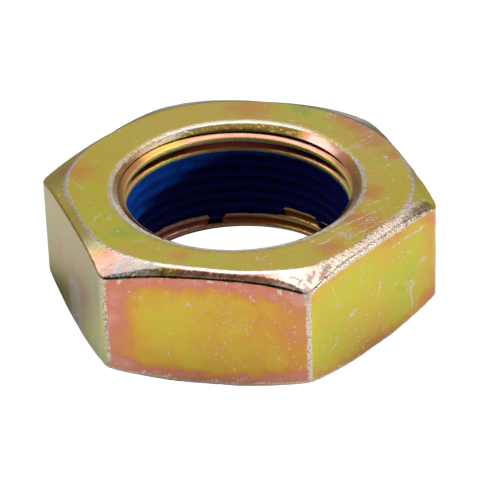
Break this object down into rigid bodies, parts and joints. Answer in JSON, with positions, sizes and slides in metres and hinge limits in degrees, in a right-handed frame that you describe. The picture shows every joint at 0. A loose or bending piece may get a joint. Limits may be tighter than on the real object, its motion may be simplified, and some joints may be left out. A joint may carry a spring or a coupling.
{
  "type": "hexagon lock nut",
  "caption": "Thin hexagon nut of yellow-plated steel, chamfered on both faces, with a fine thread and a blue nylon patch that locks it on its bolt.",
  "frame": {"origin": "centre of the lower bearing face, on the thread's axis", "axes": "+Z along the thread's axis, up through the nut; +X through a corner of the hexagon; -Y out of a spanner flat"},
  "size_m": [0.0468, 0.041, 0.0148],
  "materials": {
    "yellow_zinc": "steel plated with zinc and a yellow iridescent chromate, worn to silver along its edges",
    "blue_nylon": "fused nylon powder, satin, uneven along its lower edge"
  },
  "bodies": {
    "root": {"nut_body": "yellow_zinc", "locking_patch": "blue_nylon"}
  },
  "joints": []
}
